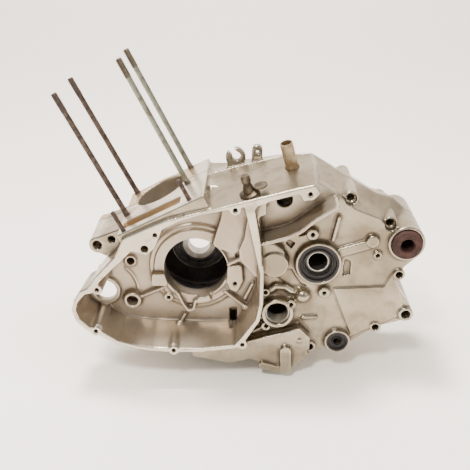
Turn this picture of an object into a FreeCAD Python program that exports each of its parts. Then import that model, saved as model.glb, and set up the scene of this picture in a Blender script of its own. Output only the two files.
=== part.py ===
import FreeCAD, Part
import math
import os
import re
import Sketcher
from FreeCAD import Placement, Rotation, Vector

# Engine crankcase of a single-cylinder motorcycle, split down the middle.
# Millimetres. X runs to the rear, Y from the generator side to the clutch side, Z up.
# The origin is on the crank axis, at the outer face of the generator-side main bore.

doc = FreeCAD.newDocument("crankcase")
sheet = doc.addObject("Spreadsheet::Sheet", "sizes")

# Driving dimensions: name, millimetres or degrees
DRIVING = [
    ("cover_depth", 48.0),
    ("floor_drop", 5.0),
    ("floor_wall", 7.0),
    ("main_wall", 19.0),
    ("split_depth", 45.0),
    ("crank_room_width", 52.0),
    ("right_wall", 22.0),
    ("clutch_depth", 42.0),
    ("clutch_rim", 7.0),
    ("main_bore_radius", 41.0),
    ("crank_room_radius", 62.0),
    ("crank_room_wall", 8.0),
    ("gear_wall_face", 10.0),
    ("gear_wall", 8.0),
    ("sump_depth", 150.0),
    ("deck_tilt", 26.5),
    ("deck_height", 99.2),
    ("deck_ahead", 54.2),
    ("deck_behind", 65.3),
    ("deck_left", 43.0),
    ("deck_right", 94.0),
    ("cylinder_ahead", 3.5),
    ("cylinder_across", 53.0),
    ("mouth_radius", 35.0),
    ("mouth_depth", 50.0),
    ("mouth_collar", 9.0),
    ("tunnel_length", 80.0),
    ("tunnel_width", 21.0),
    ("tunnel_ahead", 48.5),
    ("tunnel_near", 28.5),
    ("tunnel_drop", 55.0),
    ("stud_shank_radius", 3.4),
    ("stud_thread_radius", 4.0),
    ("stud_thread_length", 27.0),
    ("stud_exposed", 176.0),
    ("stud_buried", 18.0),
    ("short_stud_exposed", 28.0),
    ("short_stud_radius", 3.0),
    ("short_stud_buried", 14.0),
    ("cover_screw_radius", 2.6),
    ("cover_screw_depth", 20.0),
    ("cover_boss_radius", 8.0),
    ("front_mount_radius", 5.5),
    ("front_boss_radius", 11.0),
    ("rear_mount_radius", 5.8),
    ("rear_boss_radius", 10.0),
    ("pivot_boss_radius", 23.5),
    ("pivot_bush_radius", 18.9),
    ("pivot_bore_radius", 8.5),
    ("pivot_bush_stand", 6.0),
    ("pivot_bush_length", 36.0),
    ("main_bearing_radius", 36.0),
    ("main_bearing_bore", 15.0),
    ("main_bearing_width", 19.0),
    ("main_ball_radius", 6.4),
    ("output_bearing_radius", 26.0),
    ("output_bearing_bore", 12.5),
    ("output_bearing_width", 15.0),
    ("output_ball_radius", 4.0),
    ("input_bearing_radius", 23.5),
    ("input_bearing_bore", 10.0),
    ("input_bearing_width", 14.0),
    ("input_ball_radius", 3.6),
    ("ball_clearance", 0.1),
    ("output_seal_width", 7.0),
    ("output_ring_stand", 9.0),
    ("output_ring_wall", 3.0),
    ("shift_seal_radius", 14.0),
    ("shift_seal_bore", 5.6),
    ("shift_seal_width", 6.0),
    ("drum_bore_radius", 15.7),
    ("drum_ring_radius", 21.0),
    ("drum_shell_wall", 1.5),
    ("drum_shell_length", 20.0),
    ("needle_shell_wall", 1.2),
    ("needle_shell_length", 12.0),
    ("mainshaft_needle_radius", 9.0),
    ("output_needle_radius", 13.0),
    ("breather_radius", 8.0),
    ("breather_wall", 1.2),
    ("breather_stand", 32.0),
    ("breather_bead", 4.0),
    ("breather_collar", 0.6),
    ("breather_collar_height", 2.0),
    ("breather_seat", 10.0),
    ("fitting_disc_radius", 12.5),
    ("fitting_post_radius", 5.4),
    ("fitting_height", 25.0),
    ("case_bolt_radius", 4.0),
    ("case_bolt_reach", 30.0),
    ("case_bolt_head", 5.5),
    ("case_bolt_flats", 12.0),
    ("case_hole_radius", 4.4),
    ("thread_clearance", 0.05),
    ("dowel_radius", 5.0),
    ("dowel_length", 14.0),
    ("drain_thread_radius", 7.0),
    ("drain_thread_length", 12.0),
    ("drain_head_flats", 17.0),
    ("drain_recess", 10.0),
]


def fill_sheet():
    """One cell for each driving dimension, with its name as alias."""
    for row, (alias, value) in enumerate(DRIVING, start=1):
        sheet.set(f"A{row}", alias)
        sheet.set(f"B{row}", str(value))
        sheet.setAlias(f"B{row}", alias)
    doc.recompute()


fill_sheet()


def size(alias):
    """The value of one driving dimension."""
    return float(sheet.get(alias))


# Planes across the case, along Y
FLANGE = -size("cover_depth")
RIM = 0.0
FLOOR = size("floor_drop")
FLOOR_BACK = FLOOR + size("floor_wall")
ROOM_LEFT = size("main_wall")
SPLIT = size("split_depth")
ROOM_RIGHT = ROOM_LEFT + size("crank_room_width")
RIGHT_FACE = ROOM_RIGHT + size("right_wall")
RIGHT_FLANGE = RIGHT_FACE + size("clutch_depth")
GEAR_FACE = -size("gear_wall_face")
GEAR_INNER = GEAR_FACE + size("gear_wall")
DECK_NEAR = -size("deck_left")
DECK_FAR = size("deck_right")
BOTTOM = -size("sump_depth")

PIVOT_NEAR = GEAR_FACE - 4.0
PIVOT_FAR = RIGHT_FACE + 4.0
ARM_NEAR = -14.0
ARM_FAR = 62.0

# Direction of the deck, from front to rear, and of the cylinder, upwards
TILT = math.radians(size("deck_tilt"))
ALONG = Vector(math.cos(TILT), 0, math.sin(TILT))
UPWARD = Vector(-math.sin(TILT), 0, math.cos(TILT))
ACROSS = Vector(0, 1, 0)

# Axes and holes as (X, Z) in the side view
OUTPUT_AXIS = (157.0, 15.0)
INPUT_AXIS = (101.0, 18.0)
SHIFT_AXIS = (187.5, -102.0)
DRUM_AXIS = (106.5, -56.0)
PIVOT_AXIS = (267.0, 42.0)
FRONT_MOUNT = (-123.0, 38.0)
REAR_MOUNT = (275.0, -60.0)
STARTER_HOLE = (-121.0, -36.0)
STARTER_RADIUS = 15.0
IDLE_BOSS = (-85.0, -48.0)
IDLE_BOSS_RADIUS = 11.5
IDLE_BORE_RADIUS = 7.2
OIL_HOLE = (-85.0, 8.0)
COVER_SCREWS = [(-121, -8), (-127, -68.5), (-28, -97), (61, -87.5), (52, 101), (140, 122)]
BLOCK_HOLES = [(-45, 68), (-58.5, 49.5)]
DIVIDER_SCREW = (90.5, -25.5)
CASE_BOLTS = [(194, 100), (245.5, 66), (151.5, -112), (261.4, -2), (237, -80.5), (-104, 46)]
DOWELS = [(-86, 46), (256, -62)]
DRAIN = (60.0, 70.0)


def deck_point(along, across, above):
    """A point given from the foot of the cylinder axis on the deck."""
    return ALONG * along + UPWARD * (size("deck_height") + above) + ACROSS * across


def at(point, depth):
    """A side-view point (X, Z) set at a depth along Y."""
    return Vector(point[0], depth, point[1])


def rounded_wire(points, depth, radius):
    """Closed outline in the side view with every corner rounded."""
    corners = [at(p, depth) for p in points]
    count = len(corners)
    starts = []
    ends = []
    middles = []
    for i in range(count):
        here = corners[i]
        before = corners[i - 1] - here
        after = corners[(i + 1) % count] - here
        half = before.getAngle(after) / 2.0
        reach = min(radius / math.tan(half), 0.42 * before.Length, 0.42 * after.Length)
        bend = reach * math.tan(half)
        inward = (before.normalize() + after.normalize()).normalize()
        starts.append(here + before * reach)
        ends.append(here + after * reach)
        middles.append(here + inward * (bend / math.sin(half) - bend))
    edges = []
    for i in range(count):
        edges.append(Part.Arc(starts[i], middles[i], ends[i]).toShape())
        edges.append(Part.LineSegment(ends[i], starts[(i + 1) % count]).toShape())
    return Part.Wire(edges)


def slab(points, near, far, radius=3.0):
    """Outline in the side view carried from one depth to another."""
    face = Part.Face(rounded_wire(points, near, radius))
    return face.extrude(Vector(0, far - near, 0))


def sharp_slab(points, near, far):
    """The same with sharp corners, for cuts and straight blocks."""
    wire = Part.makePolygon([at(p, near) for p in points + points[:1]])
    return Part.Face(wire).extrude(Vector(0, far - near, 0))


def drafted(near_points, near, far_points, far):
    """Solid between two outlines with the same number of corners, in flat facets."""
    near_ring = [at(p, near) for p in near_points]
    far_ring = [at(p, far) for p in far_points]
    faces = [Part.Face(Part.makePolygon(near_ring + near_ring[:1])),
             Part.Face(Part.makePolygon(far_ring + far_ring[:1]))]
    for i in range(len(near_ring)):
        a, b = near_ring[i - 1], near_ring[i]
        c, d = far_ring[i - 1], far_ring[i]
        faces.append(Part.Face(Part.makePolygon([a, b, d, a])))
        faces.append(Part.Face(Part.makePolygon([a, d, c, a])))
    solid = Part.makeSolid(Part.makeShell(faces))
    if solid.Volume < 0:
        solid.reverse()
    return solid


def post(centre, radius, near, far):
    """Round boss or hole along Y."""
    return Part.makeCylinder(radius, far - near, at(centre, near), ACROSS)


def cone_post(centre, near_radius, far_radius, near, far):
    """Round boss with draft."""
    return Part.makeCone(near_radius, far_radius, far - near, at(centre, near), ACROSS)


def bar(start, end, width, near, far):
    """Rib with round ends between two side-view points."""
    run = Vector(end[0] - start[0], 0, end[1] - start[1])
    side = Vector(-run.z, 0, run.x).normalize() * (width / 2.0)
    first = at(start, near)
    last = at(end, near)
    wire = Part.makePolygon([first + side, last + side, last - side, first - side, first + side])
    web = Part.Face(wire).extrude(Vector(0, far - near, 0))
    return web.fuse([post(start, width / 2.0, near, far), post(end, width / 2.0, near, far)])


def chain(points, width, near, far):
    """Wall that follows several side-view points."""
    walls = [bar(a, b, width, near, far) for a, b in zip(points, points[1:])]
    return walls[0].fuse(walls[1:])


def ball(centre, depth, radius):
    """Round end of a rib or a dome on a wall."""
    return Part.makeSphere(radius, at(centre, depth))


def deck_rod(along, across, radius, bottom, top):
    """Round hole or rod square to the deck."""
    return Part.makeCylinder(radius, top - bottom, deck_point(along, across, bottom), UPWARD)


def deck_block(along_from, along_to, across_from, across_to, bottom, top):
    """Box with its faces along, across and square to the deck."""
    corner = deck_point(along_from, across_from, bottom)
    run = ALONG * (along_to - along_from)
    rise = UPWARD * (top - bottom)
    wire = Part.makePolygon([corner, corner + run, corner + run + rise, corner + rise, corner])
    return Part.Face(wire).extrude(ACROSS * (across_to - across_from))


# Places on the deck, from the cylinder axis foot: along, across
STUDS = {
    "front_left": (-49.0, 16.5),
    "front_right": (-44.0, 91.0 - 4.0),
    "rear_left": (38.0, 30.5),
    "rear_right": (38.5, 87.5),
}
SHORT_STUDS = {
    "front": (-44.5, -37.0),
    "rear": (45.5, -33.5),
}

# Outlines in the side view
CHAMBER_MOUTH = [
    (-75, 46), (-89, 31), (-100, 21), (-117, 3), (-128, -13), (-137, -15), (-147, -27),
    (-150, -38), (-146, -50), (-136, -61), (-119, -69), (-99, -83), (-77, -89), (-54, -93),
    (6, -94), (50, -88), (60, -76), (78, -49), (82, -27), (82.5, 14), (73, 58), (63, 105),
    (33, 99), (12, 95), (-15, 86), (-36, 75), (-46, 50), (-57, 40), (-66, 44),
]
CHAMBER_FLOOR = [
    (-72, 40), (-86, 27), (-97, 17), (-113, 1), (-124, -14), (-133, -18), (-142, -28),
    (-145, -38), (-141, -48), (-131, -57), (-114, -65), (-96, -75), (-75, -79), (-54, -81),
    (6, -83), (46, -82), (57, -74), (72, -46), (79, -27), (79, 19), (72, 57), (62, 99),
    (33, 94), (12, 90), (-15, 81), (-34, 70), (-42, 50), (-54, 37), (-66, 39),
]
CHAMBER_OUTER = [
    (-85, 62), (-96, 38), (-106, 28), (-123, 9), (-134, -6), (-143, -10), (-152, -24),
    (-156, -38), (-152, -53), (-141, -66), (-123, -75), (-102, -88), (-78, -95), (-54, -99),
    (6, -100), (54, -93), (66, -80), (83, -52), (87, -28), (87, 20), (82.5, 58), (77, 115.5),
    (63, 112.5), (10, 98), (-9, 93.5), (-32, 87.5), (-60, 75), (-72, 69), (-80, 65.5),
]
CHAMBER_BACK = [
    (-85, 62), (-94, 38), (-104, 27), (-120, 7), (-130, -9), (-139, -14), (-148, -26),
    (-151, -38), (-147, -51), (-136, -62), (-118, -70), (-99, -81), (-76, -86), (-54, -88),
    (6, -90), (48, -88), (60, -76), (78, -51), (85, -28), (85, 20), (84, 60), (84, 118),
    (63, 116), (10, 104), (-9, 98), (-32, 88), (-60, 75), (-72, 69), (-80, 65.5),
]
GEAR_NEAR = [
    (60, 106), (146, 127), (176, 108), (199, 88), (231, 75), (243, 62), (262, 60), (284, 46),
    (282, 22), (268, 8), (258, -9), (266, -28), (282, -52), (283, -66), (270, -72), (243, -80),
    (229, -88), (204, -107), (157, -120), (141, -134), (128, -148), (112, -149), (72, -132),
    (44, -139), (-4, -128), (-10, -88), (40, -60), (58, 0),
]
GEAR_SPLIT = [
    (60, 125), (149, 141), (184, 118), (214, 100), (236, 87), (256, 82), (272, 68), (287, 46),
    (282, 20), (266, 6), (258, -12), (264, -30), (279, -54), (280, -69), (266, -76), (240, -87),
    (226, -98), (204, -112), (157, -126), (146, -138), (138, BOTTOM), (110, BOTTOM), (72, BOTTOM),
    (30, BOTTOM), (-16, BOTTOM + 6), (-36, -104), (40, -60), (58, 0),
]
GEAR_RIGHT = [
    (60, 117), (149, 122), (182, 108), (210, 92), (232, 78), (250, 72), (268, 62), (285, 44),
    (280, 20), (264, 6), (256, -12), (262, -30), (277, -54), (278, -68), (264, -74), (238, -84),
    (224, -94), (202, -108), (157, -124), (146, -136), (138, BOTTOM), (110, BOTTOM), (72, BOTTOM),
    (30, BOTTOM), (-16, BOTTOM + 6), (-36, -104), (40, -60), (58, 0),
]
FRONT_CORE = [
    (-93, 60), (-60, 80), (15, 112), (80, 112), (80, -100), (-34, -108), (-62, -74), (-76, -40),
    (-78, 0), (-84, 34),
]
GEAR_ROOM = [
    (74, 102), (138, 114), (166, 98), (186, 78), (222, 58), (232, 38), (234, 10), (238, -20), (241, -50),
    (226, -76), (198, -98), (156, -111), (136, -130), (128, -141), (-6, -141), (-22, -104),
    (-16, -74), (60, -74), (76, 10),
]
SHELF = [(86, 55), (97, 58), (114, 63), (130, 71), (148, 87), (174, 104)]
POCKET = [
    (89, 62), (97, 63), (114, 67), (130, 76), (147, 92), (158, 104), (150, 118), (132, 112),
    (128, 122), (89, 111),
]
FLANGE_STEP = [
    (84.8, 28), (82.5, 58), (78.4, 84), (75.5, 101), (78, 106), (90, 110), (90, 62), (90, 28),
]
# Shallow pockets in the outer wall of the gear room: outline, nearest depth, how deep
WALL_POCKETS = [
    ([(104, -7), (118, 4), (124, 4), (128, -4), (136, -16), (146, -22), (121, -22)], -11.0, 2.5),
    ([(80, -66), (84.5, -72), (85, -84), (66, -94), (61, -91), (68, -80)], -30.0, 6.0),
    ([(131, 50), (132, 60), (139, 66), (141, 60), (139, 52)], -11.0, 5.0),
    ([(115, 41), (119, 45.5), (127, 41), (122, 33)], -11.0, 5.0),
    ([(191, 19), (199, 15), (199, -3), (189, -5)], -11.0, 4.0),
]
CLUTCH_OUTER = [
    (-78, 58), (-30, 80), (20, 88), (70, 90), (120, 96), (160, 88), (192, 66), (210, 34), (212, -6),
    (204, -50), (186, -92), (158, -122), (120, -143), (30, -143), (-30, -132), (-70, -100),
    (-92, -50), (-96, 0), (-92, 36),
]


def shrink(points, inset):
    """Outline drawn in by a distance, corner by corner."""
    count = len(points)
    result = []
    for i in range(count):
        before = Vector(points[i][0] - points[i - 1][0], points[i][1] - points[i - 1][1], 0)
        after_point = points[(i + 1) % count]
        after = Vector(after_point[0] - points[i][0], after_point[1] - points[i][1], 0)
        inward_before = Vector(before.y, -before.x, 0).normalize()
        inward_after = Vector(after.y, -after.x, 0).normalize()
        middle = (inward_before + inward_after).normalize()
        scale = inset / max(0.4, middle.dot(inward_before))
        result.append((points[i][0] + middle.x * scale, points[i][1] + middle.y * scale))
    return result


def deck_casting(near, far):
    """Block under the cylinder, between two depths."""
    block = deck_block(-size("deck_ahead"), size("deck_behind"), near, far, -34.0, 0.0)
    return block


def front_mount_arm(near, far):
    """Arm and tube that carry the front engine bolt."""
    x, z = FRONT_MOUNT
    arm = sharp_slab([(x, z + size("front_boss_radius")), (-90, 62), (-78, 40), (-82, 18),
                      (-98, 14), (x + 2, z - size("front_boss_radius"))], near, far)
    return arm.fuse(post(FRONT_MOUNT, size("front_boss_radius"), near, far))


def crank_room():
    """Space for the crank, and the bore for the cylinder liner's skirt."""
    room = post((0, 0), size("crank_room_radius"), ROOM_LEFT, ROOM_RIGHT)
    mouth = deck_rod(-size("cylinder_ahead"), size("cylinder_across"), size("mouth_radius"),
                     -size("mouth_depth"), 1.0)
    return room.fuse(mouth)


def above_deck():
    """Free space over the deck, so that nothing stands under the cylinder."""
    return deck_block(-size("deck_ahead"), size("deck_behind"), DECK_NEAR, DECK_FAR, 0.0, 200.0)


def gear_room(near, far):
    """Space for the gears and the sump, outside the crank room's wall."""
    space = slab(GEAR_ROOM, near, far, 8.0)
    wall = post((0, 0), size("crank_room_radius") + size("crank_room_wall"), near - 1, far + 1)
    chamber_back = sharp_slab([(-40, -160), (91, -160), (91, 130), (-40, 130)], near - 1, FLOOR_BACK)
    return space.cut(wall).cut(chamber_back)


def through_holes():
    """Bores and bolt holes that run along Y through one or both halves."""
    holes = [post(FRONT_MOUNT, size("front_mount_radius"), -60, 150)]
    holes.append(post(REAR_MOUNT, size("rear_mount_radius"), -60, 150))
    near_seat = PIVOT_NEAR - size("pivot_bush_stand") + size("pivot_bush_length")
    far_seat = PIVOT_FAR + size("pivot_bush_stand") - size("pivot_bush_length")
    holes.append(post(PIVOT_AXIS, size("pivot_bush_radius"), -60, near_seat))
    holes.append(post(PIVOT_AXIS, size("pivot_bush_radius"), far_seat, 150))
    holes.append(post(PIVOT_AXIS, size("pivot_bore_radius") + 3.0, -60, 150))
    for spot in DOWELS:
        half = size("dowel_length") / 2.0
        holes.append(post(spot, size("dowel_radius"), SPLIT - half, SPLIT + half))
    thread = size("case_bolt_radius") + size("thread_clearance")
    tip = SPLIT - size("case_bolt_reach")
    for spot in CASE_BOLTS:
        holes.append(post(spot, thread, tip - 1, SPLIT + 1))
        holes.append(post(spot, size("case_hole_radius"), SPLIT, RIGHT_FACE + 10))
        holes.append(post(spot, size("case_hole_radius"), FLANGE, tip))
    return holes


def stud_holes():
    """Seats of the studs in the deck."""
    holes = []
    fit = size("thread_clearance")
    for along, across in STUDS.values():
        holes.append(deck_rod(along, across, size("stud_thread_radius") + fit,
                              -size("stud_buried"), 5.0))
    for along, across in SHORT_STUDS.values():
        holes.append(deck_rod(along, across, size("short_stud_radius") + fit,
                              -size("short_stud_buried"), 5.0))
    return holes


def screw_holes():
    """Threaded holes of the generator cover's flange."""
    holes = []
    for spot in COVER_SCREWS + BLOCK_HOLES:
        holes.append(post(spot, size("cover_screw_radius"), FLANGE - 1,
                          FLANGE + size("cover_screw_depth")))
    holes.append(post(BLOCK_HOLES[1], 4.4, FLANGE - 1, FLANGE + 12))
    return holes


def sector(centre, inner, outer, start, end, near, far):
    """Part of a round wall between two angles, counted in degrees from the rear upwards."""
    wall = post(centre, outer, near, far).cut(post(centre, inner, near, far))
    wedge = [centre]
    for i in range(5):
        turn = math.radians(start + (end - start) * i / 4.0)
        wedge.append((centre[0] + 2 * outer * math.cos(turn),
                      centre[1] + 2 * outer * math.sin(turn)))
    return wall.common(sharp_slab(wedge, near, far))


def round_rib(points, depth, radius):
    """Rib with a half-round back that follows several side-view points."""
    parts = [ball(point, depth, radius) for point in points]
    for a, b in zip(points, points[1:]):
        run = at(b, depth) - at(a, depth)
        parts.append(Part.makeCylinder(radius, run.Length, at(a, depth), run))
    return parts[0].fuse(parts[1:])


def chamber_details():
    """Ribs, lugs and bosses on the floor of the generator chamber."""
    parts = []
    for spot in COVER_SCREWS[:5]:
        parts.append(cone_post(spot, size("cover_boss_radius") - 1.0,
                               size("cover_boss_radius") + 1.0, FLANGE, FLOOR_BACK))
    parts.append(cone_post((0, 0), 54.0, 56.0, RIM, FLOOR + 1))
    parts.append(cone_post((0, 0), 60.0, 61.5, RIM + 2.5, FLOOR + 1))
    parts.append(slab([(-57, -6), (-39, -6), (-37, -24), (-58, -24)], RIM - 8, FLOOR + 1, 3.0))
    parts.append(bar((-44, -30), (-72, -43), 4.0, RIM - 2, FLOOR + 1))
    parts.append(chain([(-25, -33), (-18, -50), (-11, -61), (-4, -59), (-1, -46)], 3.5, RIM - 8,
                       FLOOR + 1))
    bore = size("main_bore_radius") - 0.5
    parts.append(sector((0, 0), bore, bore + 3.0, -12, 60, RIM - 4, RIM + 1))
    parts.append(sector((0, 0), bore, bore + 5.0, 202, 238, RIM - 6, RIM + 1))
    parts.append(sector((0, 0), bore, bore + 9.0, 272, 294, RIM - 8, RIM + 1))
    parts.append(sector((0, 0), bore, bore + 4.5, 300, 338, RIM - 2, RIM + 1))
    parts.append(sector(STARTER_HOLE, 24.0, 27.0, 195, 275, RIM, FLOOR + 1))
    parts.append(sector(STARTER_HOLE, 42.5, 45.0, 2, 50, FLOOR - 2, FLOOR + 1))
    for spot in ((-28, -94.5), (-125, -66), (58.5, -86)):
        parts.append(cone_post(spot, 6.5, 10.5, FLANGE + 3, FLOOR + 1))
    parts.append(bar((-16, -70), (-24, -86), 4.0, RIM - 2, FLOOR + 1))
    parts.append(ball((-24, -84), RIM - 1, 4.0))
    parts.append(chain([(38, -34), (64, -57)], 4.0, RIM - 4, FLOOR + 1))
    parts.append(ball((64, -57), RIM - 3, 4.0))
    parts.append(chain([(64, -46), (74, -24)], 4.0, RIM, FLOOR + 1))
    parts.append(chain([(40, 6), (57, 15), (79, -6)], 4.5, RIM - 6, FLOOR + 1))
    parts.append(slab([(22, 36), (33, 72), (38, 100), (62, 104), (66, 72), (60, 44), (52, 22)],
                      RIM - 9, FLOOR + 1, 5.0))
    parts.append(slab([(57, 18), (56, 32), (63, 50), (66.5, 78), (66, 108), (82, 108), (86, -8),
                       (76, -6)], RIM - 14, FLOOR + 1, 5.0))
    parts.append(slab([(42, 4), (60, 5), (62, -18), (54, -36), (44, -31), (40, -20)], RIM - 4,
                      FLOOR + 1, 4.0))
    parts.append(post((-37, -44), 6.5, RIM - 3, FLOOR + 1))
    parts.append(cone_post(IDLE_BOSS, IDLE_BOSS_RADIUS, IDLE_BOSS_RADIUS + 1, RIM - 5, FLOOR + 1))
    parts.append(post(IDLE_BOSS, 10.5, FLOOR, FLOOR_BACK + 8))
    parts.append(post(OIL_HOLE, 8.0, RIM + 1, FLOOR_BACK + 12))
    parts.append(post(STARTER_HOLE, STARTER_RADIUS + 5.0, RIM + 1, FLOOR_BACK))
    return parts


def chamber_holes():
    """Holes and slots in the floor of the generator chamber."""
    holes = [post((0, 0), size("main_bore_radius"), FLANGE, ROOM_LEFT + 1)]
    holes.append(post(STARTER_HOLE, STARTER_RADIUS, RIM - 10, FLOOR_BACK + 10))
    holes.append(post(IDLE_BOSS, IDLE_BORE_RADIUS, RIM - 6, FLOOR_BACK + 2))
    holes.append(post(OIL_HOLE, 5.0, RIM - 6, FLOOR_BACK + 8))
    holes.append(post((51, -22), size("cover_screw_radius"), RIM - 6, FLOOR + 10))
    holes.append(post((-37, -44), size("cover_screw_radius"), RIM - 6, FLOOR + 10))
    holes.append(sharp_slab([(43.7, -64), (53.3, -62.5), (53.3, -84), (48, -86.5), (43.7, -84)],
                            RIM - 12, FLOOR_BACK + 6))
    return holes


def gear_side_details():
    """Bosses, ribs and rings on the outer wall of the gear room."""
    parts = []
    ring_face = GEAR_FACE - size("output_ring_stand")
    ring = size("output_bearing_radius") + size("output_ring_wall")
    parts.append(cone_post(OUTPUT_AXIS, ring, ring + 2.5, ring_face, GEAR_INNER))
    parts.append(post(OUTPUT_AXIS, ring + 3.0, GEAR_FACE, GEAR_INNER + 14))
    parts.append(cone_post(INPUT_AXIS, 17.0, 19.0, GEAR_FACE - 18, GEAR_INNER))
    parts.append(post(INPUT_AXIS, 17.0, GEAR_FACE, GEAR_INNER + 12))
    parts.append(slab([(84, 46), (98, 48), (112, 38), (117, 18), (108, 0), (86, 2)],
                      GEAR_FACE - 16, GEAR_FACE + 1, 5.0))
    parts.append(cone_post(DRUM_AXIS, size("drum_ring_radius"), size("drum_ring_radius") + 2,
                           GEAR_FACE - 13, GEAR_INNER))
    parts.append(post((124, -43), 6.5, GEAR_FACE - 11, GEAR_INNER))
    parts.append(post((92, -76), 6.5, GEAR_FACE - 11, GEAR_INNER))
    shift_ring = size("shift_seal_radius") + 3.0
    parts.append(cone_post(SHIFT_AXIS, shift_ring, shift_ring + 2, GEAR_FACE - 7, GEAR_INNER + 4))
    parts.append(post(PIVOT_AXIS, size("pivot_boss_radius"), PIVOT_NEAR, SPLIT))
    parts.append(post(REAR_MOUNT, size("rear_boss_radius"), GEAR_FACE - 5, SPLIT))
    for spot in CASE_BOLTS[:2]:
        parts.append(cone_post(spot, 9.5, 10.0, GEAR_FACE + 4, SPLIT))
    parts.append(post(CASE_BOLTS[2], 8.5, GEAR_FACE - 4, SPLIT))
    parts.append(post(CASE_BOLTS[3], 7.5, GEAR_FACE - 4, SPLIT))
    parts.append(post(CASE_BOLTS[4], 7.5, GEAR_FACE - 4, SPLIT))
    parts.append(post(DIVIDER_SCREW, 5.5, GEAR_FACE - 10, GEAR_INNER))
    parts.append(post((166.5, -27), 7.5, GEAR_FACE - 8, GEAR_INNER))
    parts.append(post((148, 56), 7.5, GEAR_FACE - 8, GEAR_INNER))
    parts.append(post((232, 25), 6.0, GEAR_FACE - 3, GEAR_INNER))
    parts.append(bar((186, 30), (222, 42), 12.0, GEAR_FACE - 5, GEAR_FACE + 1))
    parts.append(post((224, 46), 8.0, GEAR_FACE - 7, GEAR_FACE + 1))
    parts.append(ball((139, -33), GEAR_FACE - 2, 10.5))
    parts.append(ball((136, -94), GEAR_FACE - 12, 6.0))
    parts.append(round_rib([(97, -26), (104, -20), (116, -21), (125, -27)], GEAR_FACE, 5.0))
    parts.append(bar((180, 79), (174, 48), 4.0, GEAR_FACE - 7, GEAR_FACE + 1))
    parts.append(bar((140, -67), (158, -66), 4.0, GEAR_FACE - 4, GEAR_FACE + 1))
    parts.append(sharp_slab([(178, -23), (244, -20), (254, 0), (268, -34), (272, -62), (240, -78),
                             (206, -96)], GEAR_FACE - 2, GEAR_FACE + 1))
    parts.append(chain(SHELF, 5.0, GEAR_FACE - 34, GEAR_FACE + 1))
    parts.append(slab([(62, -97), (87, -90), (118, -82), (136, -75), (150, -90), (150, -116),
                       (140, -127), (127, -142), (112, -142), (96, -134), (72, -124),
                       (44, -131), (-5, -121), (-10, -96), (30, -92)], -26, GEAR_FACE + 1, 4.0))
    parts.append(bar((118, -108), (119, -135), 15.0, -33, -25))
    parts.append(ball((118, -108), -26, 7.5))
    parts.append(bar((88, -131), (108, -137), 10.0, -31, -25))
    return parts


def gear_side_holes():
    """Bores of the shafts, seals and screws on the outer wall of the gear room."""
    holes = []
    seal_face = GEAR_FACE - size("output_ring_stand")
    deep = seal_face + size("output_seal_width") + 1.0 + size("output_bearing_width")
    holes.append(post(OUTPUT_AXIS, size("output_bearing_radius"), seal_face - 1, deep))
    holes.append(post(OUTPUT_AXIS, size("output_bearing_radius") - 4, seal_face, SPLIT))
    holes.append(post(INPUT_AXIS, size("mainshaft_needle_radius"), GEAR_FACE - 8, SPLIT))
    holes.append(post(DRUM_AXIS, size("drum_bore_radius"), GEAR_FACE - 20, SPLIT))
    for spot in [(124, -43), (92, -76), (166.5, -27), (148, 56), (232, 25), DIVIDER_SCREW]:
        holes.append(post(spot, size("cover_screw_radius"), GEAR_FACE - 20, GEAR_FACE + 5))
    shift_face = GEAR_FACE - 7
    holes.append(post(SHIFT_AXIS, size("shift_seal_radius"), shift_face - 1,
                      shift_face + size("shift_seal_width") + 0.5))
    holes.append(post(SHIFT_AXIS, size("shift_seal_bore") + 1.5, shift_face, SPLIT))
    for spot in CASE_BOLTS[:2]:
        holes.append(post(spot, 7.5, GEAR_FACE - 20, GEAR_FACE + 9))
    holes.append(post((112, 100), 10.0, GEAR_FACE - 6, GEAR_INNER + 6))
    for outline, near, depth in WALL_POCKETS:
        holes.append(sharp_slab(outline, near, GEAR_FACE + depth))
    return holes


def merged(pieces):
    """Several tools or bosses fused into one shape."""
    whole = pieces[0]
    for piece in pieces[1:]:
        whole = whole.fuse(piece)
    return whole


def carve(body, groups):
    """Cut groups of tools out of a body, one group after another."""
    for tools in groups:
        body = body.cut(merged(tools))
    return body


def join(body, groups):
    """Add groups of pieces to a body, one group after another."""
    for pieces in groups:
        body = body.fuse(merged(pieces))
    return body


ROOF_NEAR = [(-9, 93.5), (10, 98), (63, 112.5), (127, 130), (146, 134), (152, 124), (146, 116),
             (10, 60)]
ROOF_SPLIT = [(-9, 106), (16, 113.5), (63, 126), (110, 138), (148, 142), (154, 136), (150, 118),
              (10, 60)]
ROOF_RIGHT = [(-9, 98), (16, 104), (63, 116), (110, 124), (148, 125), (152, 118), (148, 104),
              (10, 60)]


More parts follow.
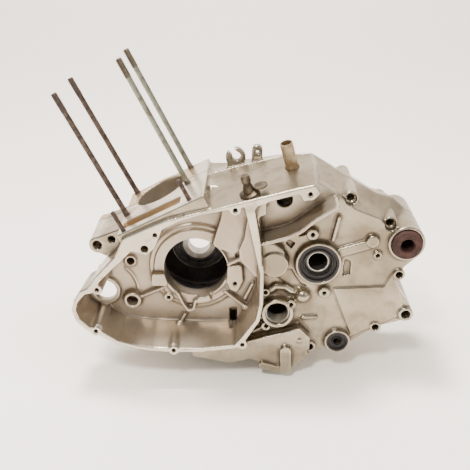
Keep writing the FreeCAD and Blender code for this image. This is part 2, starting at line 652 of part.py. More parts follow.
def left_half():
    """Generator-side half of the crankcase, one casting."""
    tub = drafted(CHAMBER_OUTER, FLANGE, CHAMBER_BACK, FLOOR_BACK)
    core = slab(FRONT_CORE, FLOOR, SPLIT, 6.0)
    gear = drafted(GEAR_NEAR, GEAR_FACE, GEAR_SPLIT, SPLIT)
    roof = drafted(ROOF_NEAR, FLANGE, ROOF_SPLIT, SPLIT)
    deck = deck_casting(DECK_NEAR, SPLIT)
    body = join(tub, [[core, gear, roof, deck, front_mount_arm(ARM_NEAR, SPLIT)]])
    chamber = drafted(CHAMBER_MOUTH, FLANGE, CHAMBER_FLOOR, FLOOR)
    pocket = slab(POCKET, FLANGE - 1, GEAR_FACE, 4.0)
    step = sharp_slab(FLANGE_STEP, FLANGE - 1, FLANGE + 8)
    body = carve(body, [[chamber], [pocket, step], [gear_room(GEAR_INNER, SPLIT + 1)],
                        [crank_room()], [above_deck()]])
    rear_boss = post(COVER_SCREWS[5], size("cover_boss_radius"), FLANGE, GEAR_FACE + 1)
    body = join(body, [chamber_details(), gear_side_details(), [rear_boss]])
    tunnel_far = size("tunnel_width") - size("tunnel_near")
    tunnel = deck_block(-size("tunnel_ahead"), size("tunnel_length") - size("tunnel_ahead"),
                        -size("tunnel_near"), tunnel_far, -size("tunnel_drop"), 1.0)
    return carve(body, [chamber_holes(), gear_side_holes(), screw_holes(), stud_holes(),
                        through_holes(), [tunnel], roof_holes()])


def top_lugs():
    """Split ring and eye on the roof of the clutch-side half."""
    ring = post((51, 134), 13.0, SPLIT + 3, SPLIT + 12)
    foot = sharp_slab([(40, 112), (64, 112), (62, 130), (40, 130)], SPLIT + 3, SPLIT + 12)
    ring = ring.fuse(foot).cut(post((52, 136), 5.5, SPLIT, SPLIT + 20))
    ring = ring.cut(sharp_slab([(50, 134), (54, 140), (44, 152), (38, 146)], SPLIT, SPLIT + 20))
    eye = slab([(71, 112), (86, 112), (85.5, 148), (72, 148)], SPLIT + 9, SPLIT + 19, 6.0)
    eye = eye.cut(post((79, 139), 2.5, SPLIT, SPLIT + 30))
    return [ring, eye]


def clutch_details():
    """Bearing bosses and ribs on the floor of the clutch room."""
    parts = [post(spot, 7.5, RIGHT_FACE - 4, RIGHT_FLANGE) for spot in CLUTCH_SCREWS]
    main_ring = size("main_bearing_radius") + 7.0
    parts.append(cone_post((0, 0), main_ring + 2, main_ring, RIGHT_FACE - 4, RIGHT_FACE + 5))
    input_ring = size("input_bearing_radius") + 6.0
    parts.append(cone_post(INPUT_AXIS, input_ring + 1, input_ring, RIGHT_FACE - 12, RIGHT_FACE + 4))
    parts.append(cone_post(OUTPUT_AXIS, 20.0, 18.0, RIGHT_FACE - 14, RIGHT_FACE + 3))
    parts.append(cone_post(SHIFT_AXIS, 13.0, 11.0, RIGHT_FACE - 10, RIGHT_FACE + 6))
    parts.append(cone_post(DRUM_AXIS, 24.0, 22.0, RIGHT_FACE - 10, RIGHT_FACE + 3))
    parts.append(chain([(-40, -20), (-66, -70)], 5.0, RIGHT_FACE - 2, RIGHT_FACE + 8))
    parts.append(chain([(30, -42), (60, -84), (60, -132)], 5.0, RIGHT_FACE - 2, RIGHT_FACE + 8))
    parts.append(chain([(-20, 44), (-40, 66)], 5.0, RIGHT_FACE - 2, RIGHT_FACE + 8))
    parts.append(post((30, -90), 13.0, RIGHT_FACE - 2, RIGHT_FACE + 14))
    return parts


CLUTCH_SCREWS = [(-74, 52), (-90, 0), (-82, -56), (-52, -112), (20, -138), (104, -138), (162, -112),
                 (200, -56), (207, 12), (172, 76), (96, 88), (12, 84)]


def right_half():
    """Clutch-side half of the crankcase, one casting."""
    core = slab(FRONT_CORE, SPLIT, RIGHT_FACE, 6.0)
    gear = drafted(GEAR_SPLIT, SPLIT, GEAR_RIGHT, RIGHT_FACE)
    roof = drafted(ROOF_SPLIT, SPLIT, ROOF_RIGHT, RIGHT_FACE)
    deck = deck_casting(SPLIT, DECK_FAR)
    collar = deck_rod(-size("cylinder_ahead"), size("cylinder_across"),
                      size("mouth_radius") + size("mouth_collar"), -34.0, 0.0)
    collar = collar.cut(Part.makeBox(400, 200, 400, Vector(-200, SPLIT - 200, -200)))
    tub = slab(CLUTCH_OUTER, RIGHT_FACE - 8, RIGHT_FLANGE, 8.0)
    body = join(core, [[gear, roof, deck, collar, tub, front_mount_arm(SPLIT, ARM_FAR)]])
    pivot = post(PIVOT_AXIS, size("pivot_boss_radius"), SPLIT, PIVOT_FAR)
    rear = post(REAR_MOUNT, size("rear_boss_radius"), SPLIT, RIGHT_FACE + 2)
    bosses = [cone_post(spot, 10.0, 9.5, SPLIT, RIGHT_FACE) for spot in CASE_BOLTS[:5]]
    body = join(body, [[pivot, rear] + bosses])
    inside = shrink(CLUTCH_OUTER, size("clutch_rim"))
    deeper = shrink(CLUTCH_OUTER, size("clutch_rim") + 4.0)
    clutch_room = drafted(deeper, RIGHT_FACE, inside, RIGHT_FLANGE + 0.01)
    gears = gear_room(SPLIT - 1, RIGHT_FACE - 8)
    body = carve(body, [[clutch_room], [gears], [crank_room()], [above_deck()]])
    drain_boss = Part.makeCylinder(17, 24, Vector(DRAIN[0], DRAIN[1], BOTTOM), Vector(0, 0, 1))
    body = join(body, [clutch_details(), top_lugs(), [drain_boss]])
    return carve(body, [clutch_holes(), stud_holes(), through_holes(), drain_holes()])


def clutch_holes():
    """Bearing seats, shaft holes and screw holes of the clutch side."""
    seat = ROOM_RIGHT + size("main_bearing_width")
    holes = [post((0, 0), size("main_bearing_radius"), ROOM_RIGHT - 1, seat)]
    holes.append(post((0, 0), size("main_bearing_radius") - 5, ROOM_RIGHT, RIGHT_FACE + 10))
    input_seat = RIGHT_FACE + 3 - size("input_bearing_width")
    holes.append(post(INPUT_AXIS, size("input_bearing_radius"), input_seat, RIGHT_FACE + 10))
    holes.append(post(INPUT_AXIS, size("input_bearing_radius") - 4, SPLIT, RIGHT_FACE))
    holes.append(post(OUTPUT_AXIS, size("output_needle_radius"), SPLIT, RIGHT_FACE - 2))
    holes.append(post(SHIFT_AXIS, size("shift_seal_bore") + 0.5, SPLIT, RIGHT_FACE + 10))
    holes.append(post(DRUM_AXIS, size("drum_bore_radius"), SPLIT, RIGHT_FACE + 10))
    for spot in CASE_BOLTS:
        holes.append(post(spot, size("case_bolt_flats") * 0.66, RIGHT_FACE, RIGHT_FACE + 12))
    for spot in CLUTCH_SCREWS:
        holes.append(post(spot, size("cover_screw_radius"),
                          RIGHT_FLANGE - size("cover_screw_depth"), RIGHT_FLANGE + 1))
    holes.append(post((30, -90), 7.0, RIGHT_FACE - 20, RIGHT_FACE + 20))
    return holes


def drain_holes():
    """Recess and thread of the drain plug, from below."""
    foot = Vector(DRAIN[0], DRAIN[1], BOTTOM - 1)
    recess = Part.makeCylinder(13.0, size("drain_recess") + 1, foot, Vector(0, 0, 1))
    thread = Part.makeCylinder(size("drain_thread_radius") + size("thread_clearance"), 40, foot,
                               Vector(0, 0, 1))
    return [recess, thread]


def link(formula):
    """A formula in the sheet's own words, as the document reads it."""
    return re.sub(r"[a-z][a-z_]+", lambda word: "sizes." + word.group(0), formula)


def number(formula):
    """The value of such a formula."""
    return float(sheet.evalExpression(link(formula)))


def place(item, base, axis):
    """Set a piece with its own Z axis along a direction."""
    item.Placement = Placement(base, Rotation(Vector(0, 0, 1), axis))


def turned(label, profile, base, axis):
    """Piece turned about its own axis from (radius, height) formulas."""
    body = doc.addObject("PartDesign::Body", label)
    body.Label = label
    sketch = body.newObject("Sketcher::SketchObject", label + "_profile")
    plane = [item for item in body.Origin.OriginFeatures if item.Role == "XZ_Plane"][0]
    sketch.AttachmentSupport = [(plane, "")]
    sketch.MapMode = "FlatFace"
    corners = [Vector(number(r), number(z), 0) for r, z in profile]
    count = len(corners)
    for i in range(count):
        sketch.addGeometry(Part.LineSegment(corners[i], corners[(i + 1) % count]))
    for i in range(count):
        sketch.addConstraint(Sketcher.Constraint("Coincident", i, 2, (i + 1) % count, 1))
        for kind, line, formula in (("DistanceX", -2, profile[i][0]), ("DistanceY", -1, profile[i][1])):
            if formula == "0":
                sketch.addConstraint(Sketcher.Constraint("PointOnObject", i, 1, line))
            else:
                index = sketch.addConstraint(
                    Sketcher.Constraint(kind, -1, 1, i, 1, number(formula)))
                sketch.setExpression("Constraints[%d]" % index, link(formula))
    turn = body.newObject("PartDesign::Revolution", label + "_turned")
    turn.Profile = sketch
    turn.ReferenceAxis = (sketch, ["V_Axis"])
    turn.Angle = 360
    sketch.Visibility = False
    place(body, base, axis)
    PIECES.append(body)
    return body


def groove(body, label, radius, height, groove_radius):
    """Ball track turned into a ring."""
    sketch = body.newObject("Sketcher::SketchObject", label)
    plane = [item for item in body.Origin.OriginFeatures if item.Role == "XZ_Plane"][0]
    sketch.AttachmentSupport = [(plane, "")]
    sketch.MapMode = "FlatFace"
    centre = Vector(number(radius), number(height), 0)
    sketch.addGeometry(Part.Circle(centre, Vector(0, 0, 1), number(groove_radius)))
    for kind, formula in (("DistanceX", radius), ("DistanceY", height)):
        index = sketch.addConstraint(Sketcher.Constraint(kind, -1, 1, 0, 3, number(formula)))
        sketch.setExpression("Constraints[%d]" % index, link(formula))
    index = sketch.addConstraint(Sketcher.Constraint("Radius", 0, number(groove_radius)))
    sketch.setExpression("Constraints[%d]" % index, link(groove_radius))
    cut = body.newObject("PartDesign::Groove", label + "_cut")
    cut.Profile = sketch
    cut.ReferenceAxis = (sketch, ["V_Axis"])
    cut.Angle = 360


def ring(label, inner, outer, length, base, axis, bevel="0.6"):
    """Plain ring with small bevels on its outer edges."""
    profile = [(inner, "0"), (f"{outer} - {bevel}", "0"), (outer, bevel),
               (outer, f"{length} - {bevel}"), (f"{outer} - {bevel}", length), (inner, length)]
    return turned(label, profile, base, axis)


def add_shape(label, shape):
    """Casting or group of loose pieces, set as a finished shape."""
    feature = doc.addObject("Part::Feature", label)
    feature.Shape = shape
    feature.Label = label
    PIECES.append(feature)
    return feature


def ball_bearing(name, centre, near):
    """Two grooved rings, the balls between them and their cage."""
    bore = f"{name}_bearing_bore"
    rim = f"{name}_bearing_radius"
    width = f"{name}_bearing_width"
    radius = f"{name}_ball_radius"
    pitch = f"({bore} + {rim}) / 2"
    track = f"{radius} + ball_clearance"
    base = at(centre, near)
    outer = ring(f"{name}_bearing_outer_ring", f"{pitch} + {radius} * 0.4", rim, width, base, ACROSS)
    groove(outer, f"{name}_outer_track", pitch, f"{width} / 2", track)
    inner = ring(f"{name}_bearing_inner_ring", bore, f"{pitch} - {radius} * 0.4", width, base, ACROSS)
    groove(inner, f"{name}_inner_track", pitch, f"{width} / 2", track)
    ball_radius = number(radius)
    pitch_radius = number(pitch)
    middle = near + number(width) / 2.0
    count = int(2 * math.pi * pitch_radius / (2.75 * ball_radius))
    spots = []
    for i in range(count):
        turn = 2 * math.pi * (i + 0.37) / count
        spots.append((centre[0] + pitch_radius * math.cos(turn),
                      centre[1] + pitch_radius * math.sin(turn)))
    balls = [Part.makeSphere(ball_radius, at(spot, middle)) for spot in spots]
    add_shape(f"{name}_bearing_balls", Part.makeCompound(balls))
    half = ball_radius + 1.2
    cage = post(centre, pitch_radius + 0.22 * ball_radius, middle - half, middle + half)
    cage = cage.cut(post(centre, pitch_radius - 0.22 * ball_radius, middle - half, middle + half))
    axle = at(centre, middle)
    for spot in spots:
        outward = at(spot, middle) - axle
        cage = cage.cut(Part.makeCylinder(ball_radius + 0.15, 2 * pitch_radius, axle, outward))
    add_shape(f"{name}_bearing_cage", cage)


def cylinder_stud(label, along, across, rise, buried, thread, shank, thread_length):
    """Stud screwed into the deck: threads at both ends, thinner between them."""
    profile = [("0", "0"), (f"{thread} - 0.8", "0"), (thread, "0.8"), (thread, f"{buried} + 3"),
               (shank, f"{buried} + 4"), (shank, f"{buried} + {rise} - {thread_length}"),
               (thread, f"{buried} + {rise} - {thread_length} + 1"),
               (thread, f"{buried} + {rise} - 1"), (f"{thread} - 1", f"{buried} + {rise}"),
               ("0", f"{buried} + {rise}")]
    turned(label, profile, deck_point(along, across, -number(buried)), UPWARD)


def studs():
    """Four long cylinder studs and two short ones beside the chain tunnel."""
    for name, (along, across) in STUDS.items():
        cylinder_stud(f"cylinder_stud_{name}", along, across, "stud_exposed", "stud_buried",
                      "stud_thread_radius", "stud_shank_radius", "stud_thread_length")
    for name, (along, across) in SHORT_STUDS.items():
        cylinder_stud(f"base_stud_{name}", along, across, "short_stud_exposed",
                      "short_stud_buried", "short_stud_radius", "(short_stud_radius - 0.3)", "12")


def seals_and_shells():
    """Oil seals, needle shells and pivot bushes pressed into the castings."""
    seal_face = GEAR_FACE - size("output_ring_stand") + 0.5
    rim = "output_bearing_radius"
    turned("output_shaft_seal",
           [(f"{rim} - 8.5", "2"), (f"{rim} - 7", "1"), (f"{rim} - 6", "3.5"),
            (f"{rim} - 3.4", "3.5"), (f"{rim} - 2.4", "0"), (rim, "0"),
            (rim, "output_seal_width"), (f"{rim} - 7.5", "output_seal_width")],
           at(OUTPUT_AXIS, seal_face), ACROSS)
    rim = "shift_seal_radius"
    turned("shift_shaft_seal",
           [("shift_seal_bore", "1.5"), ("shift_seal_bore + 1", "1"),
            ("shift_seal_bore + 2", "3"), (f"{rim} - 2.6", "3"), (f"{rim} - 2", "0"), (rim, "0"),
            (rim, "shift_seal_width"), ("shift_seal_bore + 1", "shift_seal_width")],
           at(SHIFT_AXIS, GEAR_FACE - 6.8), ACROSS)
    ring("drum_shell_left", "drum_bore_radius - drum_shell_wall", "drum_bore_radius",
         "drum_shell_length", at(DRUM_AXIS, GEAR_FACE - 8), ACROSS, "0.4")
    ring("drum_shell_right", "drum_bore_radius - drum_shell_wall", "drum_bore_radius",
         "drum_shell_length / 2", at(DRUM_AXIS, RIGHT_FACE - 8), ACROSS, "0.4")
    ring("mainshaft_needle_shell", "mainshaft_needle_radius - needle_shell_wall",
         "mainshaft_needle_radius", "needle_shell_length", at(INPUT_AXIS, GEAR_FACE + 6), ACROSS, "0.4")
    ring("output_needle_shell", "output_needle_radius - needle_shell_wall",
         "output_needle_radius", "needle_shell_length",
         at(OUTPUT_AXIS, RIGHT_FACE - 2 - size("needle_shell_length")), ACROSS, "0.4")
    bush = [("pivot_bore_radius", "2"), ("pivot_bore_radius + 1.5", "0"),
            ("pivot_bush_radius - 4", "0"), ("pivot_bush_radius - 3", "1"),
            ("pivot_bush_radius - 1", "1"), ("pivot_bush_radius", "2"),
            ("pivot_bush_radius", "pivot_bush_length"), ("pivot_bore_radius", "pivot_bush_length")]
    turned("pivot_bush_left", bush, at(PIVOT_AXIS, PIVOT_NEAR - size("pivot_bush_stand")), ACROSS)
    turned("pivot_bush_right", bush, at(PIVOT_AXIS, PIVOT_FAR + size("pivot_bush_stand")), -ACROSS)


# Square to the roof, and the feet of what stands on it
ROOF_NORMAL = Vector(-0.272, -0.134, 1.0).normalize()
BREATHER_FOOT = Vector(121.0, 12.0, 136.4)
FITTING_FOOT = Vector(69.0, -32.0, 116.5)


def roof_pieces():
    """Breather tube and the vent fitting, seated in the roof."""
    radius = "breather_radius"
    wall = "breather_wall"
    top = "breather_stand + breather_seat"
    turned("breather_tube",
           [(f"{radius} - {wall}", "0"), (f"{radius} + breather_collar", "0"),
            (f"{radius} + breather_collar", "breather_seat + breather_collar_height"),
            (radius, "breather_seat + breather_collar_height"), (radius, f"{top} - breather_bead"),
            (f"{radius} + 0.2", f"{top} - 3"), (f"{radius} + 0.2", f"{top} - 1"),
            (f"{radius} - 0.2", top), (f"{radius} - {wall}", top)],
           BREATHER_FOOT - ROOF_NORMAL * size("breather_seat"), ROOF_NORMAL)
    thread = "short_stud_radius"
    post_radius = "fitting_post_radius"
    turned("vent_fitting",
           [("0", "0"), (thread, "0"), (thread, "6"), ("fitting_disc_radius", "6"),
            ("fitting_disc_radius", "8"), ("fitting_disc_radius - 3", "9.5"),
            (f"{post_radius} + 1.5", "10"), (f"{post_radius} + 0.6", "16"),
            (f"{post_radius} - 0.8", "20"), (f"{post_radius} + 0.4", "23"),
            (f"{post_radius} + 0.4", "fitting_height + 4"), (f"{post_radius} - 1", "fitting_height + 6"),
            ("0", "fitting_height + 6")],
           FITTING_FOOT - ROOF_NORMAL * 6.0, ROOF_NORMAL)
    side = ACROSS.cross(ROOF_NORMAL).normalize()
    start = FITTING_FOOT + ROOF_NORMAL * 6.2 + side * (size("fitting_post_radius") + 1.5)
    centre = FITTING_FOOT + ROOF_NORMAL * 6.2 + side * 15.0
    disc = Part.makeCylinder(8.5, 2.0, centre, ROOF_NORMAL)
    run = centre - start
    arm = Part.makeCylinder(2.0, run.Length, start, run)
    seat = Part.makeCylinder(size("fitting_disc_radius"), 60, FITTING_FOOT, ROOF_NORMAL)
    post_space = Part.makeCylinder(size("fitting_post_radius") + 1.6, 60, FITTING_FOOT, ROOF_NORMAL)
    disc_space = Part.makeCylinder(size("fitting_disc_radius") + 0.1, 4.1, FITTING_FOOT, ROOF_NORMAL)
    add_shape("vent_clip", disc.fuse(arm).cut([post_space, disc_space]))


def hex_bolt(tip, shank_radius, shank_length, flats, head_height, axis):
    """Bolt from the tip of its thread up to the top of its six-sided head."""
    shank = Part.makeCylinder(shank_radius, shank_length, tip, axis)
    corner_radius = flats / math.sqrt(3.0)
    points = []
    for i in range(7):
        turn = math.pi / 3.0 * i
        points.append(Vector(corner_radius * math.cos(turn), corner_radius * math.sin(turn), 0))
    head = Part.Face(Part.makePolygon(points)).extrude(Vector(0, 0, head_height))
    head.Placement = Placement(tip + axis * shank_length, Rotation(Vector(0, 0, 1), axis))
    return shank.fuse(head)


def fasteners():
    """Case bolts, dowels, drain plug and its washer."""
    tip = SPLIT - size("case_bolt_reach")
    bolts = []
    for spot in CASE_BOLTS:
        head_face = ARM_FAR if spot == CASE_BOLTS[5] else RIGHT_FACE
        bolts.append(hex_bolt(at(spot, tip), size("case_bolt_radius"), head_face - tip,
                              size("case_bolt_flats"), size("case_bolt_head"), ACROSS))
    add_shape("case_bolts", Part.makeCompound(bolts))
    pins = []
    half = size("dowel_length") / 2.0
    for spot in DOWELS:
        pin = post(spot, size("dowel_radius"), SPLIT - half, SPLIT + half)
        pins.append(pin.cut(post(spot, size("dowel_radius") - 1.2, SPLIT - half, SPLIT + half)))
    add_shape("locating_dowels", Part.makeCompound(pins))
    down = Vector(0, 0, -1)
    seat = Vector(DRAIN[0], DRAIN[1], BOTTOM + size("drain_recess"))
    washer = Part.makeCylinder(11.0, 1.0, seat, down)
    washer = washer.cut(Part.makeCylinder(size("drain_thread_radius") + 0.05, 1.0, seat, down))
    add_shape("drain_washer", washer)
    top = seat + Vector(0, 0, size("drain_thread_length"))
    plug = hex_bolt(top, size("drain_thread_radius"), size("drain_thread_length") + 1.0,
                    size("drain_head_flats"), 6.0, down)
    add_shape("drain_plug", plug)


def roof_holes():
    """Seats of the breather tube and the vent fitting."""
    foot = BREATHER_FOOT - ROOF_NORMAL * size("breather_seat")
    collar = size("breather_radius") + size("breather_collar")
    tube = Part.makeCylinder(collar, size("breather_seat") + 5, foot, ROOF_NORMAL)
    tube_seat = Part.makeCylinder(collar + 4.0, 10, BREATHER_FOOT, ROOF_NORMAL)
    passage = Part.makeCylinder(4.0, 30, foot + ROOF_NORMAL * 2, -ROOF_NORMAL)
    thread = Part.makeCylinder(size("short_stud_radius") + size("thread_clearance"), 11,
                               FITTING_FOOT - ROOF_NORMAL * 6.0, ROOF_NORMAL)
    spot_face = Part.makeCylinder(size("fitting_disc_radius") + 1, 10, FITTING_FOOT, ROOF_NORMAL)
    return [tube, tube_seat, passage, thread, spot_face]


PIECES = []

add_shape("left_crankcase_half", left_half())
add_shape("right_crankcase_half", right_half())
ball_bearing("main", (0, 0), ROOM_RIGHT)
ball_bearing("output", OUTPUT_AXIS,
             GEAR_FACE - size("output_ring_stand") + size("output_seal_width") + 1.0)
ball_bearing("input", INPUT_AXIS, RIGHT_FACE + 3 - size("input_bearing_width"))
studs()
seals_and_shells()
roof_pieces()
fasteners()
doc.recompute()

for item in doc.Objects:
    if "Invalid" in item.State or "Error" in item.State:
        raise RuntimeError("failed: " + item.Label)
for piece in PIECES:
    if piece.Shape.isNull() or not piece.Shape.isValid() or not piece.Shape.Solids:
        raise RuntimeError("no valid shape: " + piece.Label)

os.makedirs("parts", exist_ok=True)
for piece in PIECES:
    piece.Shape.exportStep("parts/%s.step" % piece.Label)
    box = piece.Shape.BoundBox
    print("%-28s solids %2d volume %10.0f  X %.1f..%.1f  Y %.1f..%.1f  Z %.1f..%.1f" % (
        piece.Label, len(piece.Shape.Solids), piece.Shape.Volume, box.XMin, box.XMax, box.YMin,
        box.YMax, box.ZMin, box.ZMax))
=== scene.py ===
import bmesh
import bpy
import math
import numpy as np
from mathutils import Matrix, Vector


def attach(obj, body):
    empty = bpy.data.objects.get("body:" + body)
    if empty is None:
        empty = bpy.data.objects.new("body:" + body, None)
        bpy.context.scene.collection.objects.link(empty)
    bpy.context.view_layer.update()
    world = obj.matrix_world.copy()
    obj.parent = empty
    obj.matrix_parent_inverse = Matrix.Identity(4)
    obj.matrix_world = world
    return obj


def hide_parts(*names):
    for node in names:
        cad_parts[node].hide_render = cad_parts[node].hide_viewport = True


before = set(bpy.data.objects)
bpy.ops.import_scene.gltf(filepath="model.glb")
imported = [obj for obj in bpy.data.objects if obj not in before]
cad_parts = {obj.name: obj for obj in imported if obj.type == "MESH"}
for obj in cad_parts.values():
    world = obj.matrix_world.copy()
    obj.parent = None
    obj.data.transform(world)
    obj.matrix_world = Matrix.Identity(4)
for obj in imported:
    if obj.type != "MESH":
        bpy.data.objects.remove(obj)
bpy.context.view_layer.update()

# Directions of the tilted deck, and places of the real object in metres
TILT = math.radians(26.5)
ALONG = np.array([math.cos(TILT), 0.0, math.sin(TILT)])
UPWARD = np.array([-math.sin(TILT), 0.0, math.cos(TILT)])
ACROSS = np.array([0.0, 1.0, 0.0])
DECK_HEIGHT = 0.0992
COVER_FACE = -0.048
CLUTCH_FACE = 0.135
BOTTOM = -0.150
# Studs, by their places along and across the deck from over the crankshaft's axis
STUDS = {
    "cylinder_stud_front_left": (-0.049, 0.0165),
    "cylinder_stud_front_right": (-0.044, 0.087),
    "cylinder_stud_rear_left": (0.038, 0.0305),
    "cylinder_stud_rear_right": (0.0385, 0.0875),
}
SHORT_STUDS = {"base_stud_front": (-0.0445, -0.037), "base_stud_rear": (0.0455, -0.0335)}
TUNNEL_ALONG = (-0.0495, 0.0325)
TUNNEL_ACROSS = (-0.0295, -0.0065)
CYLINDER_AXIS = (-0.0035, 0.053)
MOUTH_RADIUS = 0.0355
# Rooms of the castings: reach along Y, radius about the crankshaft, depth under the deck
CRANK_ROOM_ACROSS = (0.0185, 0.0715)
CRANK_ROOM_RADIUS = 0.0635
CRANK_ROOM_DEPTH = 0.02
TUNNEL_DEPTH = 0.058
CHAMBER_ACROSS = (-0.0465, 0.0195)
POCKET_ACROSS = (-0.0465, -0.004)
BORE_ACROSS = (0.0, 0.0195)
BORE_RADIUS = 0.0425
# Weathering, painted shade and painted highlight: how near to a face, a stud, a corner or an edge
# each mask starts and is full
FACE_REACH = 0.0012
FACE_FADE = 0.0008
FACING = (0.7, 0.95)
UNDER_DECK = 0.0008
BORE_WET = (0.0, 0.019)
RUST_REACH = 0.0105
RUST_FADE = 0.005
RUST_BAND = 0.003
GASKET_END = 0.045
GASKET = 0.9
POCKET_STAIN = 0.85
HOLLOW_ROUNDS = 12
HOLLOW = (0.0002, 0.0011)
EDGE_ROUNDS = 3
EDGE = (0.00012, 0.0004)
# Grid of the castings' surfaces, and how many more rounds of smoothing the fine grid needs
GRID = 0.0011
SPREAD = 2
RELAX_ROUNDS = 3
MOST_FACES = 190000.0
# Side-view outlines (X, Z) in millimetres: the generator chamber's mouth, the pocket behind it
CHAMBER = [
    (-75, 46), (-89, 31), (-100, 21), (-117, 3), (-128, -13), (-137, -15), (-147, -27),
    (-150, -38), (-146, -50), (-136, -61), (-119, -69), (-99, -83), (-77, -89), (-54, -93),
    (6, -94), (50, -88), (60, -76), (78, -49), (82, -27), (82.5, 14), (80, 58), (75, 105),
    (33, 99), (12, 95), (-15, 86), (-36, 75), (-46, 50), (-57, 40), (-66, 44),
]
POCKET = [(88, 50), (114, 58), (132, 67), (150, 84), (180, 104), (160, 125), (86, 112)]


class Socket:
    """A value in a material's nodes; arithmetic on it adds Math nodes."""

    def __init__(self, paint, out):
        self.paint = paint
        self.out = out

    def math(self, operation, first, second=0.0):
        return self.paint.add("ShaderNodeMath", {"operation": operation}, {0: first, 1: second})

    def __add__(self, other):
        return self.math("ADD", self, other)

    def __sub__(self, other):
        return self.math("SUBTRACT", self, other)

    def __rsub__(self, other):
        return self.math("SUBTRACT", other, self)

    def __mul__(self, other):
        return self.math("MULTIPLY", self, other)

    __radd__ = __add__

    def step(self, low, high):
        """Smooth rise from 0 at low to 1 at high."""
        return self.paint.add("ShaderNodeMapRange", {"interpolation_type": "SMOOTHSTEP"},
                              {"Value": self, "From Min": low, "From Max": high})


class Paint:
    """One material, with short names for the nodes it uses."""

    def __init__(self, name, **surface):
        self.material = bpy.data.materials.new(name)
        self.material.use_nodes = True
        self.tree = self.material.node_tree
        self.shader = self.tree.nodes["Principled BSDF"]
        for key, value in surface.items():
            self.shader.inputs[key.replace("_", " ")].default_value = value
        place = self.tree.nodes.new("ShaderNodeTexCoord")
        self.place = Socket(self, place.outputs["Object"])

    def link(self, value, socket):
        """Feeds a socket from a node, or sets its value."""
        if isinstance(value, Socket):
            self.tree.links.new(value.out, socket)
        else:
            socket.default_value = value

    def add(self, kind, settings, inputs, output=0):
        """One node: its settings, then its sockets' values or links."""
        node = self.tree.nodes.new(kind)
        for key, value in settings.items():
            setattr(node, key, value)
        for key, value in inputs.items():
            self.link(value, node.inputs[key])
        return Socket(self, node.outputs[output])

    def noise(self, scale, detail=4.0, rough=0.55, stretch=None):
        """Cloudy value around 0.5; scale in waves per metre."""
        where = self.place
        if stretch is not None:
            where = self.add("ShaderNodeMapping", {}, {"Vector": where, "Scale": stretch})
        return self.add("ShaderNodeTexNoise", {}, {"Vector": where, "Scale": scale,
                                                   "Detail": detail, "Roughness": rough})

    def cells(self, scale):
        """Distance to the nearest of scattered points."""
        return self.add("ShaderNodeTexVoronoi", {}, {"Vector": self.place, "Scale": scale})

    def mark(self, name):
        """A mask that was worked out on the piece's own points."""
        return self.add("ShaderNodeAttribute", {"attribute_name": name}, {}, "Fac")

    def mix(self, mask, first, second):
        """first where mask is 0, second where it is 1."""
        node = self.tree.nodes.new("ShaderNodeMix")
        node.data_type = "RGBA"
        self.link(mask, node.inputs[0])
        self.link(first, node.inputs[6])
        self.link(second, node.inputs[7])
        return Socket(self, node.outputs[2])

    def bump(self, height, strength, distance):
        """A normal for a fine relief; distance in metres."""
        return self.add("ShaderNodeBump", {}, {"Height": height, "Strength": strength,
                                               "Distance": distance})

    def finish(self, colour, roughness, normal=None, metallic=None):
        """Feeds the surface's inputs and gives the finished material."""
        self.link(colour, self.shader.inputs["Base Color"])
        self.link(roughness, self.shader.inputs["Roughness"])
        if normal is not None:
            self.link(normal, self.shader.inputs["Normal"])
        if metallic is not None:
            self.link(metallic, self.shader.inputs["Metallic"])
        return self.material


def rgb(red, green, blue):
    """A colour as seen on a screen, from 0 to 255, made linear."""
    return tuple((c / 255.0) ** 2.2 for c in (red, green, blue)) + (1.0,)


# Finishes
def cast_alloy():
    """Aged sand-grained casting: grey skin, bright machined faces, oil stains, grime and painted
    shade in corners, edges lighter from wear and a painted highlight.
    """
    p = Paint("cast_alloy")
    cloud = p.noise(14.0, 3.0)
    patch = p.noise(55.0, 5.0, 0.6)
    speck = p.noise(900.0, 2.0)
    grain = p.noise(1700.0, 2.0)
    machined = p.mark("machined")
    stain = p.mark("stain")
    inside = p.mark("inside")
    hollow = p.mark("hollow")
    edge = p.mark("edge")
    rust = p.mark("rust")
    residue = p.mark("residue")
    skin = p.mix(cloud.step(0.35, 0.65), rgb(158, 148, 129), rgb(134, 123, 104))
    skin = p.mix(patch.step(0.48, 0.68) * 0.4, skin, rgb(112, 97, 76))
    skin = p.mix(speck.step(0.55, 0.8) * 0.3, skin, rgb(86, 76, 61))
    oil = p.mix(cloud.step(0.35, 0.65), rgb(178, 165, 148), rgb(162, 147, 127))
    colour = p.mix(stain * (cloud.step(0.2, 0.6) * 0.3 + 0.7), skin, oil)
    pit = (1 - p.cells(75.0).step(0.05, 0.1)) * patch.step(0.42, 0.55)
    colour = p.mix(pit * 0.55, colour, rgb(74, 62, 48))
    # Darker in hollows: grime, and partly painted shade in corners and creases.
    grime_and_shade = hollow * (patch.step(0.2, 0.6) * 0.6 + 0.4)
    colour = p.mix(grime_and_shade * 0.75, colour, rgb(70, 56, 42))
    # Lighter on sharp edges: wear, and partly a painted highlight.
    colour = p.mix(edge * 0.25, colour, rgb(204, 195, 180))
    lathe = p.mix(cloud.step(0.3, 0.7), rgb(208, 198, 180), rgb(188, 176, 156))
    lathe = p.mix(patch.step(0.55, 0.7) * 0.45, lathe, rgb(123, 104, 83))
    colour = p.mix(machined, colour, lathe)
    colour = p.mix(rust * patch.step(0.25, 0.5), colour, rgb(112, 70, 54))
    colour = p.mix(residue * patch.step(0.3, 0.5), colour, rgb(184, 154, 116))
    wet = p.mix(patch.step(0.4, 0.6), rgb(62, 60, 60), rgb(78, 70, 62))
    colour = p.mix(inside, colour, wet)
    rough = 0.21 + cloud * 0.14 - machined * 0.02 + stain * 0.06 - inside * 0.1 - edge * 0.04
    height = grain * 0.5 + speck * 0.5
    normal = p.bump(height, 0.35, 0.0004)
    metallic = 0.92 - machined * 0.25 - stain * 0.15 - grime_and_shade * 0.5 - inside * 0.4
    return p.finish(colour, rough, normal, metallic)


